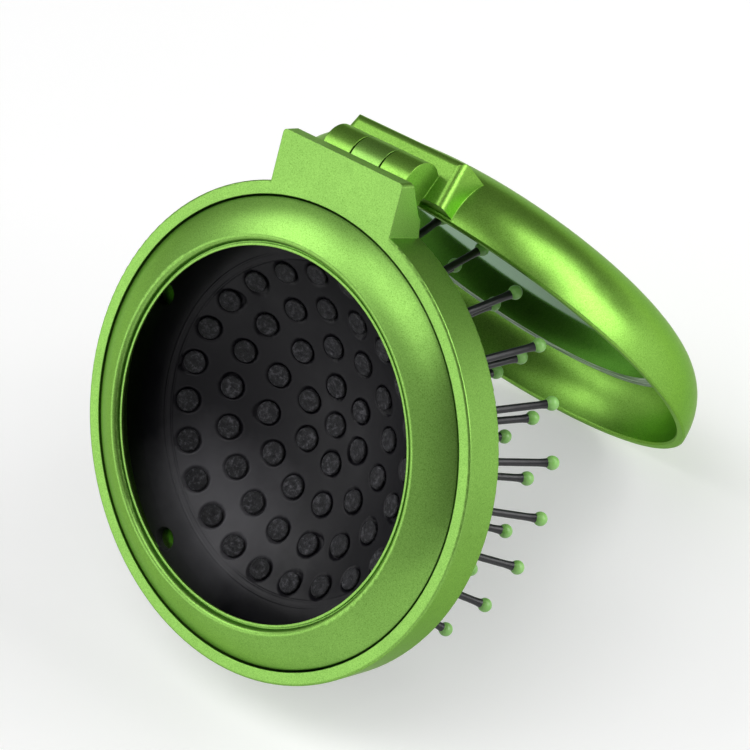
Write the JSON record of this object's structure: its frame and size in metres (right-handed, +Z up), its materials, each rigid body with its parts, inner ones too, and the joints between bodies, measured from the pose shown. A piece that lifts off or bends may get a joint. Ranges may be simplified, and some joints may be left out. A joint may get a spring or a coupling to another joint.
{
  "type": "folding hairbrush with mirror",
  "caption": "Round pocket hairbrush that folds shut like a compact, with a pop-up bristle pad in a ring and a mirror in its hinged lid.",
  "frame": {"origin": "centre of the bounding box in X and Y, on the level that the part stands on", "axes": "+Z up, X along the hinge line, -Y towards the side that the back of the brush half faces, +Y towards the lid"},
  "size_m": [0.065, 0.0752, 0.0689],
  "materials": {
    "case_green": "satin green lacquer with a fine metallic grain",
    "pad_rubber": "soft matt black rubber",
    "bristle_black": "smooth black nylon",
    "ball_green": "light green coated tips",
    "pin_steel": "plain ground steel",
    "mirror": "silvered glass with a ground edge",
    "foam": "black adhesive foam"
  },
  "bodies": {
    "hinge_pin": {"hinge_pin": "pin_steel"},
    "case": {"case_ring": "case_green", "back_bezel": "case_green", "rubber_pad": "pad_rubber"},
    "lid": {"lid_shell": "case_green", "mirror_glass": "mirror", "mirror_foam": "foam"},
    "bristles_ring_4": {"bristle_pins_ring_4": "bristle_black", "ball_tips_ring_4": "ball_green"},
    "bristles_ring_3": {"bristle_pins_ring_3": "bristle_black", "ball_tips_ring_3": "ball_green"},
    "bristles_ring_2": {"bristle_pins_ring_2": "bristle_black", "ball_tips_ring_2": "ball_green"},
    "bristles_ring_1": {"bristle_pins_ring_1": "bristle_black", "ball_tips_ring_1": "ball_green"},
    "bristles_centre": {"bristle_pins_centre": "bristle_black", "ball_tips_centre": "ball_green"}
  },
  "joints": [
    {"name": "case_hinge", "type": "hinge", "parent": "hinge_pin", "child": "case", "pos_m": [0, 0.00526, 0.0631], "axis": [-1, 0, 0], "range_deg": [0, 114]},
    {"name": "lid_hinge", "type": "hinge", "parent": "hinge_pin", "child": "lid", "pos_m": [0, 0.00526, 0.0631], "axis": [1, 0, 0], "range_deg": [-55.7, 0]},
    {"name": "push_ring_4", "type": "slide", "parent": "case", "child": "bristles_ring_4", "axis": [0, -0.8451, 0.5346], "range_m": [0, 0.0106], "deforming": ["rubber_pad"]},
    {"name": "push_ring_3", "type": "slide", "parent": "bristles_ring_4", "child": "bristles_ring_3", "axis": [0, -0.8451, 0.5346], "range_m": [0, 0.0027]},
    {"name": "push_ring_2", "type": "slide", "parent": "bristles_ring_3", "child": "bristles_ring_2", "axis": [0, -0.8451, 0.5346], "range_m": [0, 0.0027]},
    {"name": "push_ring_1", "type": "slide", "parent": "bristles_ring_2", "child": "bristles_ring_1", "axis": [0, -0.8451, 0.5346], "range_m": [0, 0.0017]},
    {"name": "push_centre", "type": "slide", "parent": "bristles_ring_1", "child": "bristles_centre", "axis": [0, -0.8451, 0.5346], "range_m": [0, 0.0009]}
  ],
  "couplings": [
    {"joint": "push_ring_4", "follows": "lid_hinge", "m_per_rad": -0.010904},
    {"joint": "push_ring_3", "follows": "lid_hinge", "m_per_rad": -0.0027774},
    {"joint": "push_ring_2", "follows": "lid_hinge", "m_per_rad": -0.0027774},
    {"joint": "push_ring_1", "follows": "lid_hinge", "m_per_rad": -0.0017487},
    {"joint": "push_centre", "follows": "lid_hinge", "m_per_rad": -0.00092578}
  ]
}
